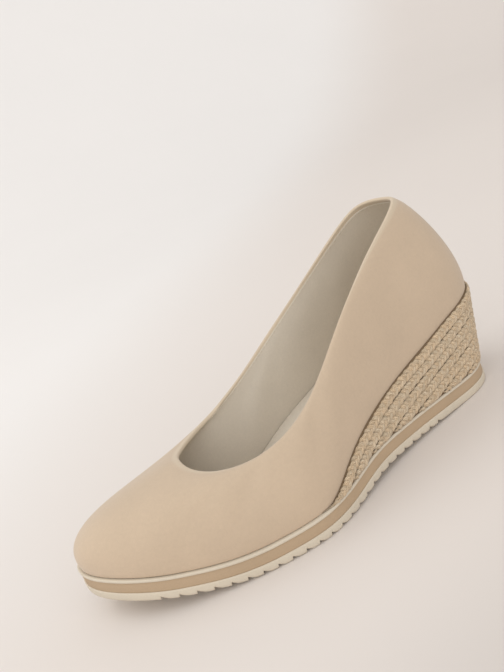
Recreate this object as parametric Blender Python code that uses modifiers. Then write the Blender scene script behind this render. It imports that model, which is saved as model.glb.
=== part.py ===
"""Wedge pump, left shoe: a soft upper on a rope wrapped wedge and a three layer toothed sole.

The shoe is worked out in millimetres from its last: distance along the sole from the
heel's back to the toe's tip, distance to the side (lateral minus, medial plus) and height
above the floor. It stands with its toe towards -X and its lateral side towards -Y.
"""
from collections import namedtuple

import bpy
import numpy as np

MM = 0.001

# Driving sizes, in millimetres
LENGTH = 250.0            # sole, heel's back to toe's tip
OUTSOLE_TOP = 4.8         # toothed bottom layer
MIDSOLE_TOP = 10.5        # tan stripe
STACK = 12.2              # light rim, top of the whole sole
GAP = 0.3                 # air left between pieces that touch
HEEL_ROUND = 0.115        # shares of the length taken by the two rounded ends
TOE_ROUND = 0.13
ROUND_POWER = 2.2
TOE_SWING = 14.0          # the toe's tip lies this far to the medial side
STRIPE_RECESS = 0.6       # the tan stripe lies behind the layers that hold it
SOLE_EDGE = 1.5           # bevel along the outsole's lower edge
HEEL_CORNER = 5.0         # radius of the heel's lower back corner, seen from the side

TOOTH_START = 50.3        # rear end of the first tooth
TOOTH_PITCH = 7.1
TOOTH_COUNT = 25
TOOTH_DEPTH = 1.8
TOOTH_LAND = 2.8          # flat length of a tooth's tip
TOOTH_STEP = 0.5          # length of its steep rear face

FEATHER_INSET = 1.7       # the upper's lower edge lies this far inside the sole's edge
HEEL_INSET_SHARE = 0.4    # share of that inset left at the heel
INSET_BLEND = 0.25
OVERHANG = 8.6            # the seat reaches this far behind the sole
OVERHANG_END = 0.5
WEDGE_LEDGE = 0.5         # the wedge stands this far outside the upper's lower edge
WEDGE_FOOT_INSET = 0.8
WEDGE_NOSE = 1.0          # height of the wedge where it ends, in front
ROPE_PITCH = 6.0
ROPE_RELIEF = 1.1
ROPE_STEPS = 4            # points across one row of rope
UPPER_WALL = 2.0
INSOLE_THICK = 3.0

# Mesh steps
SOLE_STATIONS = 56
UPPER_COLUMNS = 80
UPPER_ROWS = 12
WEDGE_SECTIONS = 34
INSOLE_SECTIONS = 40
FIRST_STATION = 0.5       # first and last section, in steps from the ends

Outline = namedtuple("Outline", "along lateral medial")
Height = namedtuple("Height", "along height")
Rib = namedtuple("Rib", "turn along side height bulge rise reach crown")
Layer = namedtuple("Layer", "name bottom top inset color roughness")

# The sole's outline: share of the length, half widths to either side
OUTLINE = (
    Outline(0.00, 27.5, 26.5),
    Outline(0.10, 27.6, 27.3),
    Outline(0.18, 29.5, 27.8),
    Outline(0.32, 33.5, 25.8),
    Outline(0.46, 41.8, 26.5),
    Outline(0.60, 50.2, 31.5),
    Outline(0.69, 47.5, 35.8),
    Outline(0.77, 42.6, 37.6),
    Outline(0.87, 34.2, 34.3),
    Outline(1.00, 24.0, 27.0),
)

# Underside: flat heel, arch, flat ball and toe spring
UNDERSIDE = (
    Height(0.00, 0.0),
    Height(0.12, 0.0),
    Height(0.22, 1.3),
    Height(0.33, 2.6),
    Height(0.42, 3.2),
    Height(0.51, 0.9),
    Height(0.59, 0.0),
    Height(0.71, 0.0),
    Height(0.78, 1.4),
    Height(0.85, 4.8),
    Height(0.93, 10.2),
    Height(1.00, 15.2),
)

# The seat, the line where the upper's lower edge rests on the wedge
SEAT = (
    Height(-0.06, 56.0),
    Height(0.00, 54.0),
    Height(0.10, 49.0),
    Height(0.20, 43.4),
    Height(0.32, 36.8),
    Height(0.42, 29.9),
    Height(0.50, 21.8),
    Height(0.57, 13.0),
    Height(0.64, 9.2),
)

# Ribs of the upper, once round from the heel's back (0) over the lateral side to the
# toe's tip (1) and back over the medial side: the topline's point, how far the rib
# bulges out and rises from the lower edge, and its reach and crown at the topline
RIBS = (
    Rib(0.00, 17.6, 0.0, 118.0, 3.4, 19.0, 0.52, -14.0),
    Rib(0.16, 22.0, -14.0, 117.4, 3.0, 19.0, 0.61, -14.0),
    Rib(0.27, 33.2, -20.5, 113.0, 3.4, 18.0, 0.60, -15.5),
    Rib(0.38, 59.0, -24.0, 100.5, 3.4, 16.0, 0.60, -14.0),
    Rib(0.48, 93.5, -28.5, 80.0, 3.1, 14.0, 0.57, -10.0),
    Rib(0.57, 125.5, -33.8, 59.0, 3.0, 14.0, 0.54, -6.0),
    Rib(0.66, 152.5, -33.5, 49.0, 3.0, 15.0, 0.52, -1.0),
    Rib(0.76, 173.5, -24.3, 47.5, 3.2, 17.0, 0.56, 2.0),
    Rib(0.87, 184.5, -10.6, 50.0, 3.9, 19.5, 0.61, 3.0),
    Rib(1.00, 186.0, 3.0, 53.0, 4.2, 19.5, 0.63, 0.0),
    Rib(1.13, 180.5, 15.5, 51.8, 3.4, 17.5, 0.60, -4.0),
    Rib(1.24, 168.5, 26.0, 51.0, 2.8, 16.0, 0.55, -6.0),
    Rib(1.34, 152.0, 31.6, 53.0, 2.9, 15.7, 0.50, -7.5),
    Rib(1.43, 125.0, 31.0, 62.0, 3.0, 15.8, 0.50, -12.0),
    Rib(1.52, 91.0, 27.5, 80.0, 3.1, 15.2, 0.55, -15.0),
    Rib(1.62, 58.0, 24.5, 99.0, 3.2, 16.0, 0.60, -16.5),
    Rib(1.73, 33.0, 21.2, 112.6, 3.4, 18.0, 0.60, -16.5),
    Rib(1.84, 22.0, 14.5, 117.4, 3.0, 19.0, 0.61, -14.0),
)

LAYERS = (
    Layer("outsole", 0.0, OUTSOLE_TOP - GAP / 2, 0.0, (0.60, 0.54, 0.43), 0.70),
    Layer("midsole_band", OUTSOLE_TOP + GAP / 2, MIDSOLE_TOP - GAP / 2,
          STRIPE_RECESS, (0.51, 0.36, 0.23), 0.75),
    Layer("rim_band", MIDSOLE_TOP + GAP / 2, STACK, 0.0, (0.68, 0.59, 0.45), 0.65),
)
ROPE_COLOR = (0.52, 0.41, 0.26)
UPPER_COLOR = (0.60, 0.46, 0.34)
INSOLE_COLOR = (0.63, 0.53, 0.42)


def column(rows, name):
    """One named column of a table."""
    return np.array([getattr(row, name) for row in rows], float)


def spline(places, values, at, period=None):
    """Cubic spline through a table's points, natural at its ends or closed on itself."""
    at = np.asarray(at, float)
    if period:
        at = (at - places[0]) % period + places[0]
        places = np.append(places, places[0] + period)
        values = np.append(values, values[0])
    count = len(places)
    step = np.diff(places)
    slope = np.diff(values) / step
    system = np.zeros((count, count))
    right = np.zeros(count)
    for i in range(1, count - 1):
        system[i, i - 1:i + 2] = step[i - 1], 2 * (step[i - 1] + step[i]), step[i]
        right[i] = 6 * (slope[i] - slope[i - 1])
    if period:
        system[0, 0], system[0, -1] = 1, -1
        system[-1, [0, 1, -2, -1]] = 2 * step[0], step[0], step[-1], 2 * step[-1]
        right[-1] = 6 * (slope[0] - slope[-1])
    else:
        system[0, 0] = system[-1, -1] = 1
    bend = np.linalg.solve(system, right)
    i = np.clip(np.searchsorted(places, at, side="right") - 1, 0, count - 2)
    a = (places[i + 1] - at) / step[i]
    b = 1 - a
    curve = (a**3 - a) * bend[i] + (b**3 - b) * bend[i + 1]
    return a * values[i] + b * values[i + 1] + step[i]**2 / 6 * curve


def follow(rows, name, at, period=None):
    """The spline through one column of a table."""
    return spline(column(rows, rows[0]._fields[0]), column(rows, name), at, period)


def side_line(share, side, inset=0.0):
    """The sole's edge at a share of its length, on one side (-1 lateral, 1 medial)."""
    width = follow(OUTLINE, "lateral" if side < 0 else "medial", share) - inset
    heel = np.clip((HEEL_ROUND - share) / HEEL_ROUND, 0, 1)
    toe = np.clip((share - 1 + TOE_ROUND) / TOE_ROUND, 0, 1)
    width = width * (1 - heel**ROUND_POWER)**(1 / ROUND_POWER)
    width = width * (1 - toe**ROUND_POWER)**(1 / ROUND_POWER)
    swing = TOE_SWING * np.clip(2 * share - 1, 0, 1)**2
    return swing + side * width


def round_sole(turn):
    """The sole's edge, once round: turn 0 is the heel's back and 1 the toe's tip."""
    turn = np.asarray(turn, float) % 2
    lateral = turn <= 1
    share = 0.5 * (1 - np.cos(np.pi * np.where(lateral, turn, 2 - turn)))
    across = np.where(lateral, side_line(share, -1), side_line(share, 1))
    return LENGTH * share, across


def inward(turn):
    """The direction square to the sole's edge, towards its middle."""
    small = 0.001
    ahead = np.array(round_sole(turn + small))
    behind = np.array(round_sole(turn - small))
    along, across = (ahead - behind) / np.hypot(*(ahead - behind))
    return -across, along


def underside(along):
    """Height of the sole's underside, flat on the floor at heel and ball."""
    return np.maximum(follow(UNDERSIDE, "height", np.clip(along / LENGTH, 0, 1)), 0)


def wedge_top(along):
    """Height of the wedge's top."""
    last = SEAT[-1].along
    return follow(SEAT, "height", np.minimum(along / LENGTH, last))


def seat(along):
    """Height of the surface that carries upper and insole: the wedge, then the sole."""
    return np.maximum(wedge_top(along), underside(along) + STACK)


def feather(turn, inset=0.0):
    """The upper's lower edge in plan, moved inward by an inset."""
    along, across = round_sole(turn)
    in_along, in_across = inward(turn)
    share = along / LENGTH
    heel = np.exp(-(share / INSET_BLEND)**2)
    move = FEATHER_INSET * (1 - (1 - HEEL_INSET_SHARE) * heel) + inset
    back = OVERHANG * np.clip(1 - share / OVERHANG_END, 0, 1)**2
    return along + in_along * move - back, across + in_across * move


def stack_points(along, across, height):
    """Joins three coordinates into points."""
    return np.stack(np.broadcast_arrays(along, across, height), axis=-1)


def upper_surface():
    """Outer face of the upper: one Bezier rib from lower edge to topline per column."""
    turn = np.linspace(0, 2, UPPER_COLUMNS, endpoint=False)
    along, across = feather(turn)
    foot = stack_points(along, across, seat(along) + GAP)
    in_along, in_across = inward(turn)
    rib = {name: follow(RIBS, name, turn, period=2.0) for name in Rib._fields[1:]}
    top = stack_points(rib["along"], rib["side"], rib["height"])
    out = stack_points(-in_along * rib["bulge"], -in_across * rib["bulge"], rib["rise"])
    lean = (foot - top) * rib["reach"][:, None]
    lean[:, 2] = rib["crown"]
    up = np.linspace(0, 1, UPPER_ROWS)[:, None, None]
    down = 1 - up
    return (down**3 * foot + 3 * up * down**2 * (foot + out)
            + 3 * up**2 * down * (top + lean) + up**3 * top)


def new_mesh_object(name, points, faces, collection, color, roughness):
    """One shaded object from points in millimetres, toe towards -X."""
    points = np.asarray(points, float) * (-MM, MM, MM)
    mesh = bpy.data.meshes.new(name)
    mesh.from_pydata(points.tolist(), [], [face[::-1] for face in faces])
    mesh.validate()
    mesh.shade_smooth()
    mesh.set_sharp_from_angle(angle=np.radians(35))
    item = bpy.data.objects.new(name, mesh)
    collection.objects.link(item)
    material = bpy.data.materials.new(name)
    material.use_nodes = True
    shader = material.node_tree.nodes["Principled BSDF"]
    shader.inputs["Base Color"].default_value = (*color, 1.0)
    shader.inputs["Roughness"].default_value = roughness
    mesh.materials.append(material)
    return item


def loft(sections):
    """Points and faces of a body through sections that all have the same points."""
    rings = len(sections)
    size = len(sections[0])
    faces = [list(range(size))[::-1], [(rings - 1) * size + i for i in range(size)]]
    for ring in range(rings - 1):
        for i in range(size):
            j = (i + 1) % size
            here = ring * size
            faces.append([here + i, here + j, here + size + j, here + size + i])
    return np.concatenate(sections), faces


def slab_section(lower, upper):
    """Four points of a section: (along, across, height) pairs below and above."""
    return np.array([upper[0], lower[0], lower[1], upper[1]])


def smooth_stations():
    """Shares of the length, close together at the rounded ends."""
    steps = np.arange(SOLE_STATIONS + 1, dtype=float)
    steps[0] = FIRST_STATION
    steps[-1] = SOLE_STATIONS - FIRST_STATION
    return 0.5 * (1 - np.cos(np.pi * steps / SOLE_STATIONS))


def make_band(layer, collection):
    """A flat layer of the sole that follows the underside."""
    sections = []
    for share in smooth_stations():
        along = layer.inset + share * (LENGTH - 2 * layer.inset)
        low = underside(along) + layer.bottom
        high = underside(along) + layer.top
        edges = [side_line(share, side, layer.inset) for side in (-1, 1)]
        sections.append(slab_section([(along, edge, low) for edge in edges],
                                     [(along, edge, high) for edge in edges]))
    points, faces = loft(sections)
    return new_mesh_object(layer.name, points, faces, collection, layer.color, layer.roughness)


def tooth_stations():
    """Distances along the sole and cuts into it: smooth heel, sawteeth, smooth toe."""
    end = TOOTH_START + TOOTH_COUNT * TOOTH_PITCH
    smooth = smooth_stations() * LENGTH
    stations = [(along, 0.0) for along in smooth if along < TOOTH_START - TOOTH_PITCH / 2]
    stations.append((TOOTH_START, 0.0))
    for tooth in range(TOOTH_COUNT):
        rear = TOOTH_START + tooth * TOOTH_PITCH
        if tooth:
            stations.append((rear + TOOTH_STEP, 0.0))
        stations.append((rear + TOOTH_STEP + TOOTH_LAND, 0.0))
        stations.append((rear + TOOTH_PITCH, TOOTH_DEPTH))
    stations.append((end + TOOTH_STEP, 0.0))
    stations += [(along, 0.0) for along in smooth if along > end + TOOTH_PITCH / 2]
    return stations


def make_outsole(layer, collection):
    """The bottom layer with its sawteeth and its bevelled lower edge."""
    sections = []
    for along, cut in tooth_stations():
        share = along / LENGTH
        short = np.clip(HEEL_CORNER - along, 0, HEEL_CORNER)
        corner = HEEL_CORNER - np.sqrt(HEEL_CORNER**2 - short**2)
        high = underside(along) + layer.top
        low = min(underside(along) + cut + corner, high - 2 * GAP)
        edge = min(SOLE_EDGE, 0.45 * (high - low))
        left, right = (side_line(share, side) for side in (-1, 1))
        inset = min(SOLE_EDGE, 0.3 * (right - left))
        sections.append(np.array([
            (along, left, high),
            (along, left, low + edge),
            (along, left + inset, low),
            (along, right - inset, low),
            (along, right, low + edge),
            (along, right, high),
        ]))
    points, faces = loft(sections)
    return new_mesh_object(layer.name, points, faces, collection, layer.color, layer.roughness)


def wedge_column(turn):
    """One upright line of the wedge's side, top to bottom, with its rows of rope."""
    top_along, top_across = feather(turn, -WEDGE_LEDGE)
    foot_along, foot_across = round_sole(turn)
    in_along, in_across = inward(turn)
    foot_along = foot_along + in_along * WEDGE_FOOT_INSET
    foot_across = foot_across + in_across * WEDGE_FOOT_INSET
    top = np.array([top_along, top_across, wedge_top(top_along)])
    foot = np.array([foot_along, foot_across, underside(foot_along) + STACK + GAP])
    height = top[2] - foot[2]
    step = ROPE_PITCH / ROPE_STEPS
    depth = np.arange(0, max(height - step / 2, step / 2), step)
    depth = np.append(depth, height)
    relief = ROPE_RELIEF * np.sin(np.pi * (depth / ROPE_PITCH % 1))
    relief[-1] = 0.0
    down = (depth / height)[:, None]
    line = top + down * (foot - top)
    line[:, 0] -= in_along * relief
    line[:, 1] -= in_across * relief
    return line


def wedge_end():
    """The turn at which the wedge has thinned to its nose."""
    turns = np.linspace(0.3, 0.8, 501)
    along = feather(turns, -WEDGE_LEDGE)[0]
    height = wedge_top(along) - underside(along) - STACK - GAP
    return turns[np.argmax(height < WEDGE_NOSE)]


def zip_lines(first, second):
    """Faces between two lines of points that share their upper rows."""
    faces = []
    i = j = 0
    while i < len(first) - 1 or j < len(second) - 1:
        last_i = i == len(first) - 1
        last_j = j == len(second) - 1
        if not last_i and not last_j:
            faces.append([first[i], first[i + 1], second[j + 1], second[j]])
            i, j = i + 1, j + 1
        elif last_j:
            faces.append([first[i], first[i + 1], second[j]])
            i += 1
        else:
            faces.append([first[i], second[j + 1], second[j]])
            j += 1
    return faces


def make_wedge(collection):
    """The rope wrapped wedge, a loft from the heel's back to a thin nose."""
    end = wedge_end()
    turns = np.linspace(-end, end, 2 * WEDGE_SECTIONS + 1)
    lines = []
    points = []
    for turn in turns:
        line = wedge_column(turn)
        lines.append(list(range(len(points), len(points) + len(line))))
        points.extend(line)
    faces = []
    for first, second in zip(lines, lines[1:]):
        faces += zip_lines(first, second)
    for i in range(WEDGE_SECTIONS):
        medial, lateral = lines[i], lines[-1 - i]
        next_medial, next_lateral = lines[i + 1], lines[-2 - i]
        for row in (0, -1):
            face = [medial[row], next_medial[row], next_lateral[row], lateral[row]]
            if next_medial is next_lateral:
                face.pop(2)
            faces.append(face if row == 0 else face[::-1])
    faces += zip_lines(lines[-1], lines[0])
    return new_mesh_object("wedge", points, faces, collection, ROPE_COLOR, 0.85)


def make_upper(collection):
    """The upper: an open surface with its wall added towards the foot."""
    grid = upper_surface()
    rows, columns = grid.shape[:2]
    faces = []
    for row in range(rows - 1):
        for i in range(columns):
            j = (i + 1) % columns
            here, above = row * columns, (row + 1) * columns
            faces.append([here + i, here + j, above + j, above + i])
    item = new_mesh_object("upper", grid.reshape(-1, 3), faces, collection, UPPER_COLOR, 0.9)
    wall = item.modifiers.new("wall", "SOLIDIFY")
    wall.thickness = UPPER_WALL * MM
    wall.offset = -1.0
    wall.use_even_offset = False
    return item


def make_insole(collection):
    """The sock that fills the floor of the shoe inside the upper's wall."""
    sections = []
    steps = np.linspace(0, 1, INSOLE_SECTIONS + 1)
    inset = UPPER_WALL + 1.5 * GAP
    first = FIRST_STATION / INSOLE_SECTIONS
    for turn in np.clip(steps, first, 1 - first):
        edges = [feather(side_turn, inset) for side_turn in (turn, 2 - turn)]
        low = [(along, across, seat(along) + GAP) for along, across in edges]
        high = [(along, across, height + INSOLE_THICK) for along, across, height in low]
        sections.append(slab_section(low, high))
    points, faces = loft(sections)
    return new_mesh_object("insole", points, faces, collection, INSOLE_COLOR, 0.9)


def stand_at_origin(items):
    """Moves the shoe so that its bounding box is centred on the origin, in plan."""
    corners = np.concatenate([[vertex.co[:2] for vertex in item.data.vertices] for item in items])
    middle = (corners.min(axis=0) + corners.max(axis=0)) / 2
    for item in items:
        item.location = (-middle[0], -middle[1], 0.0)


def main():
    for item in list(bpy.data.objects):
        bpy.data.objects.remove(item, do_unlink=True)
    collection = bpy.data.collections.new("wedge_pump")
    bpy.context.scene.collection.children.link(collection)
    outsole, midsole, rim = LAYERS
    stand_at_origin([
        make_outsole(outsole, collection),
        make_band(midsole, collection),
        make_band(rim, collection),
        make_wedge(collection),
        make_upper(collection),
        make_insole(collection),
    ])


main()
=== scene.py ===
"""Wedge pump, left shoe: the finish of every surface.

Shapes are worked out in millimetres along the last (along from the heel's back, across with
the lateral side negative, height above the floor) and laid into the frame in metres.
"""

from collections import namedtuple

import bmesh
import bpy
import numpy as np
from mathutils import Matrix, Vector


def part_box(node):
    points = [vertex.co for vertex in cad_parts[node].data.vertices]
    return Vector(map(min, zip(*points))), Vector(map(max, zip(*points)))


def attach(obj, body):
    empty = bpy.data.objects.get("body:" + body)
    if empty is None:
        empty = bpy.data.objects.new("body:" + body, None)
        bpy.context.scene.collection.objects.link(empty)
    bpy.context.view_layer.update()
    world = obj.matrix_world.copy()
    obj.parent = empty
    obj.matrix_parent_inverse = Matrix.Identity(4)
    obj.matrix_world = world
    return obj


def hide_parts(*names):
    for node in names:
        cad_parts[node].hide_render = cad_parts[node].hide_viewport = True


bl_info = {
    "name": "Wedge Pump",
    "version": (1, 0, 0),
    "blender": (4, 5, 0),
    "location": "3D View > Sidebar > Wedge Pump",
    "description": "Builds a soft wedge pump with a plaited rope wedge and a toothed sole",
    "category": "Add Mesh",
}

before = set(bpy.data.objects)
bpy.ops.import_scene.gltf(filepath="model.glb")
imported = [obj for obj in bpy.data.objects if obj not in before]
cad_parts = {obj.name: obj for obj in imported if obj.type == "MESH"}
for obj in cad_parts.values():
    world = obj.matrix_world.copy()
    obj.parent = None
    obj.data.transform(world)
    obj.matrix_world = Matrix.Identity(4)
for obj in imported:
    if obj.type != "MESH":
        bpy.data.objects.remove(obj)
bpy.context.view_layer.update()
SOLE_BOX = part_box("outsole")

MM = 0.001

# The last, in millimetres
LENGTH = 250.0
OUTSOLE_TOP = 4.8
MIDSOLE_TOP = 10.5
STACK = 12.2
HEEL_ROUND = 0.115
TOE_ROUND = 0.13
ROUND_POWER = 2.2
TOE_SWING = 14.0
HEEL_CORNER = 5.0
HEEL_CORNER_CUT = 0.75    # share of the full round that is taken off that corner
TOOTH_START = 50.3
TOOTH_PITCH = 7.1
TOOTH_COUNT = 25
TOOTH_DEPTH = 1.8
TOOTH_LAND = 2.8
TOOTH_STEP = 0.5
TOOTH_HOLLOW = 1.7        # power law of the ramp from one tooth's tip to the next step
FEATHER_INSET = 1.7
HEEL_INSET_SHARE = 0.4
INSET_BLEND = 0.25
OVERHANG = 8.6
OVERHANG_END = 0.5
WEDGE_LEDGE = 0.5
WEDGE_FOOT_INSET = 0.8
WEDGE_NOSE = 1.0
ROPE_PITCH = 6.0
UPPER_WALL = 2.0
INSOLE_THICK = 3.0

Outline = namedtuple("Outline", "along lateral medial")
Height = namedtuple("Height", "along height")
Rib = namedtuple("Rib", "turn along side height bulge rise reach crown")
Crease = namedtuple("Crease", "turn top foot width depth lean")
Profile = namedtuple("Profile", "inset height")
Dish = namedtuple("Dish", "along length height")

# The sole's outline: share of the length, half widths to either side
OUTLINE = (
    Outline(0.00, 27.5, 26.5),
    Outline(0.10, 27.6, 27.3),
    Outline(0.18, 29.5, 27.8),
    Outline(0.32, 33.5, 25.8),
    Outline(0.46, 41.8, 26.5),
    Outline(0.60, 50.2, 31.5),
    Outline(0.69, 47.5, 35.8),
    Outline(0.77, 42.6, 37.6),
    Outline(0.87, 34.2, 34.3),
    Outline(1.00, 24.0, 27.0),
)

# Underside: flat heel, arch, flat ball and toe spring
UNDERSIDE = (
    Height(0.00, 0.0),
    Height(0.12, 0.0),
    Height(0.22, 1.3),
    Height(0.33, 2.6),
    Height(0.42, 3.2),
    Height(0.51, 0.9),
    Height(0.59, 0.0),
    Height(0.71, 0.0),
    Height(0.78, 1.4),
    Height(0.85, 4.8),
    Height(0.93, 10.2),
    Height(1.00, 15.2),
)

# The seat, the line where the upper's lower edge rests on the wedge
SEAT = (
    Height(-0.06, 56.0),
    Height(0.00, 54.0),
    Height(0.10, 49.0),
    Height(0.20, 43.4),
    Height(0.32, 36.8),
    Height(0.42, 29.9),
    Height(0.50, 21.8),
    Height(0.57, 13.0),
    Height(0.64, 9.2),
)

# Ribs of the upper, once round from the heel's back (0) over the lateral side to the
# toe's tip (1) and back over the medial side
RIBS = (
    Rib(0.00, 17.6, 0.0, 118.0, 3.4, 19.0, 0.52, -14.0),
    Rib(0.16, 22.0, -14.0, 117.4, 3.0, 19.0, 0.61, -14.0),
    Rib(0.27, 33.2, -20.5, 113.0, 3.4, 18.0, 0.60, -15.5),
    Rib(0.38, 59.0, -24.0, 100.5, 3.4, 16.0, 0.60, -14.0),
    Rib(0.48, 93.5, -28.5, 80.0, 3.1, 14.0, 0.57, -10.0),
    Rib(0.57, 125.5, -33.8, 59.0, 3.0, 14.0, 0.54, -6.0),
    Rib(0.66, 152.5, -33.5, 49.0, 3.0, 15.0, 0.52, -1.0),
    Rib(0.76, 173.5, -24.3, 47.5, 3.2, 17.0, 0.56, 2.0),
    Rib(0.87, 184.5, -10.6, 50.0, 3.9, 19.5, 0.61, 3.0),
    Rib(1.00, 186.0, 3.0, 53.0, 4.2, 19.5, 0.63, 0.0),
    Rib(1.13, 180.5, 15.5, 51.8, 3.4, 17.5, 0.60, -4.0),
    Rib(1.24, 168.5, 26.0, 51.0, 2.8, 16.0, 0.55, -6.0),
    Rib(1.34, 152.0, 31.6, 53.0, 2.9, 15.7, 0.50, -7.5),
    Rib(1.43, 125.0, 31.0, 62.0, 3.0, 15.8, 0.50, -12.0),
    Rib(1.52, 91.0, 27.5, 80.0, 3.1, 15.2, 0.55, -15.0),
    Rib(1.62, 58.0, 24.5, 99.0, 3.2, 16.0, 0.60, -16.5),
    Rib(1.73, 33.0, 21.2, 112.6, 3.4, 18.0, 0.60, -16.5),
    Rib(1.84, 22.0, 14.5, 117.4, 3.0, 19.0, 0.61, -14.0),
)

# Soft creases and swells of the worn leather: where they cross the shoe, from which share
# of the rib to which, half width and depth in millimetres, and how far the foot runs ahead
CREASES = (
    Crease(0.660, 0.90, 0.20, 6.5, 0.30, 0.020),
    Crease(0.725, 0.93, 0.40, 4.2, 0.12, 0.030),
    Crease(0.765, 0.93, 0.50, 3.6, 0.09, 0.026),
    Crease(1.320, 0.93, 0.35, 4.4, 0.14, -0.030),
    Crease(1.265, 0.93, 0.45, 3.8, 0.10, -0.026),
    Crease(0.545, 0.90, 0.15, 9.0, 0.42, 0.010),
    Crease(1.485, 0.85, 0.20, 9.0, 0.40, -0.010),
    Crease(0.330, 0.80, 0.10, 11.0, 0.35, 0.000),
    Crease(1.680, 0.80, 0.10, 11.0, 0.35, 0.000),
)

# Edge profiles of the sole's layers, from the top's inner edge round to the bottom's: how
# far inside the sole's edge, and height as a share from the layer's bottom to its top
RIM_PROFILE = tuple(map(Profile._make, (
    (9.0, 1.00), (1.1, 1.00), (0.45, 0.97), (0.12, 0.84), (0.00, 0.62), (0.00, 0.30),
    (0.10, 0.10), (0.45, 0.00), (6.0, 0.00),
)))
STRIPE_PROFILE = tuple(map(Profile._make, (
    (6.0, 1.00), (0.55, 1.00), (0.62, 0.90), (0.50, 0.70), (0.46, 0.50), (0.50, 0.30),
    (0.62, 0.10), (0.55, 0.00), (6.0, 0.00),
)))
OUTSOLE_PROFILE = tuple(map(Profile._make, (
    (6.0, 1.00), (0.35, 1.00), (0.08, 0.95), (0.00, 0.80), (0.00, 0.50), (0.06, 0.28),
    (0.35, 0.10), (1.10, 0.00),
)))
SOCK_PROFILE = tuple(map(Profile._make, (
    (1.60, 1.00), (0.90, 0.97), (0.35, 0.85), (0.08, 0.62), (0.00, 0.35), (0.10, 0.00),
)))

# The upper: lengths in millimetres, places round it in turns, heights as shares of its rib
FOOT_GAP = 0.1            # air between the upper's foot and the seat
UPPER_START = 0.007       # height at which the wall's rounded foot starts
FOOT_ROUND = 0.3          # height of that foot as a share of half the wall
UPPER_ROWS = 82
UPPER_COLUMNS = 480
UPPER_ROUNDS = 9          # rows over the wall's rounded edge
CREASE_BANK = 1.7         # a crease's raised banks lie this many half widths to either side
CREASE_FOOT_FADE = (-0.2, 0.2)    # round its foot and its top, a crease fades over these
CREASE_TOP_FADE = (-0.25, 0.02)
SWELL_WAVES = (17.0, 29.0)    # millimetres per radian of the leather's two slow waves
EDGE_HIGHLIGHT_FADE = (1.0, 3.2)    # depths between which the painted highlight along the turned edge fades out
BEAD = 0.10               # the turned edge stands this much prouder
BEAD_FADE = (1.0, 3.0)    # depths between which the bead fades out
COLLAR_CURL_WIDE = 9.0    # width over which the collar draws in

# The upper's medial seam
SEAM_TOP = 1.394          # turns at which it meets the topline and the wedge
SEAM_FOOT = 1.532
SEAM_BOW = 1.25           # power law of its curve between them
SEAM_SCALE = 390.0        # millimetres of the upper's side in one turn
SEAM_WIDTH = 0.42         # half widths of its groove and of its dark line
SEAM_DARK = 0.5
SEAM_FADE = (0.3, 2.0)    # depths between which the groove fades in
SEAM_STEP = 0.18          # the leather past the seam lies this much deeper
SEAM_STEP_FADE = (6, 26)  # distances between which it comes level again
SEAM_PULL = 0.13          # turns over which the upper's columns follow the seam
SEAM_CLEAR = 11.7         # within this distance of it, columns lie at these places only
SEAM_SPREAD = (-9, -6, -4, -2.6, -1.7, -1.1, -0.7, -0.45, -0.22, 0,
               0.22, 0.45, 0.7, 1.1, 1.7, 2.6, 4, 6, 9)

# Lining, stitches and sock
LINING_START = 0.03       # heights of the lining's foot and edge
LINING_TOP = 0.955
LINING_BACK = 0.03        # depths of its two faces inside the upper's wall
LINING_FACE = 0.45
STITCH_BAND = 0.895       # the stitches run two thirds of the way from here to the lining's top
STITCH_GAP = 0.6
STITCH_SINK = 0.55        # share of the thread's radius that lies in the lining
STITCH_TIP = 0.35         # a stitch's thickness at its ends, as a share of its middle's
STITCH_RINGS = 5
STITCH_SIDES = 6
SOCK_INSET = 0.5          # room between the sock's edge and the upper's wall, for the lining
SOCK_GAP = 0.3
SOCK_CROWN = 0.25         # height of the sock's middle where it has no dish
SOCK_ROUND = 0.7          # power law of its rounding from side to side
SOCK_DISHES = (Dish(28, 26, -0.95), Dish(168, 24, -0.7), Dish(100, 30, 1.2))  # heel, ball, arch
ARCH_SIDE = (0.45, 0.95)  # the arch rises between these shares of the way to the medial edge

# Sole and core
CAP_COLUMNS = 16
SOLE_SECTIONS = 220       # from heel to toe, of the stripe and the rim
TOOTH_PARTS = (0.0, 0.12, 0.25, 0.38, TOOTH_STEP)    # sections of a tooth's step
RAMP_PARTS = (0, 0.3, 0.65)    # sections of its ramp, as shares of the ramp's length
RAMP_GAP = 0.02           # the ramp's last section lies this far before the next step
TREAD_GAP = 0.3           # clear length between the last tooth and the next even section
CORE_INSET = 0.1
CORE_RUN = 0.004          # turns by which the core runs on past the wedge's end
MERGE = 1e-7

# Three strands of one flat plait
PLAIT_SWING = 1.85        # strands swing this far to either side of a row's middle line
PLAIT_LIFT = 0.42         # and this far in and out where they cross
PLAIT_PERIOD = 8.2        # length of one strand's full swing
PLAIT_BASE = 0.70         # the plait's middle stands this far outside the wedge's core
ROW_PHASE = 1.7           # radians by which each row's plait is ahead of the last
ROW_STEPS = 1601
ROW_OVERRUN = 1.2         # a row runs on this far past the place where it meets the rim
RIM_SINK = 1.1            # how fast a strand sinks in as it runs out on the rim
FIRST_ROW_TOP = 0.12      # least depth of a strand's middle line below the seat
WANDER = (0.16, 0.14)     # how far strands stray, in two waves
WANDER_WAVES = (3.1, 7.7)     # millimetres per radian of those waves
STRAND_END = 4.0          # length over which a strand thins to its end
STRAND_TIP = 0.4          # its thickness there, as a share
NOSE_RUN = 0.020          # turns by which the first row runs on past the wedge's end
NOSE_FADE = 11.0          # the first row's strands thin over this length to this share,
NOSE_TIP = 0.3            # and sink in this far
NOSE_SINK = 0.9
NOSE_NARROW = 0.15        # the first row narrows with the wedge's height, to this share at least
STRAND_STEP = 0.62
STRAND_SIDES = 8
PLY_PITCH = 4.6           # length of one twist of a strand's two plies
PLY_DEPTH = 0.03

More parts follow.
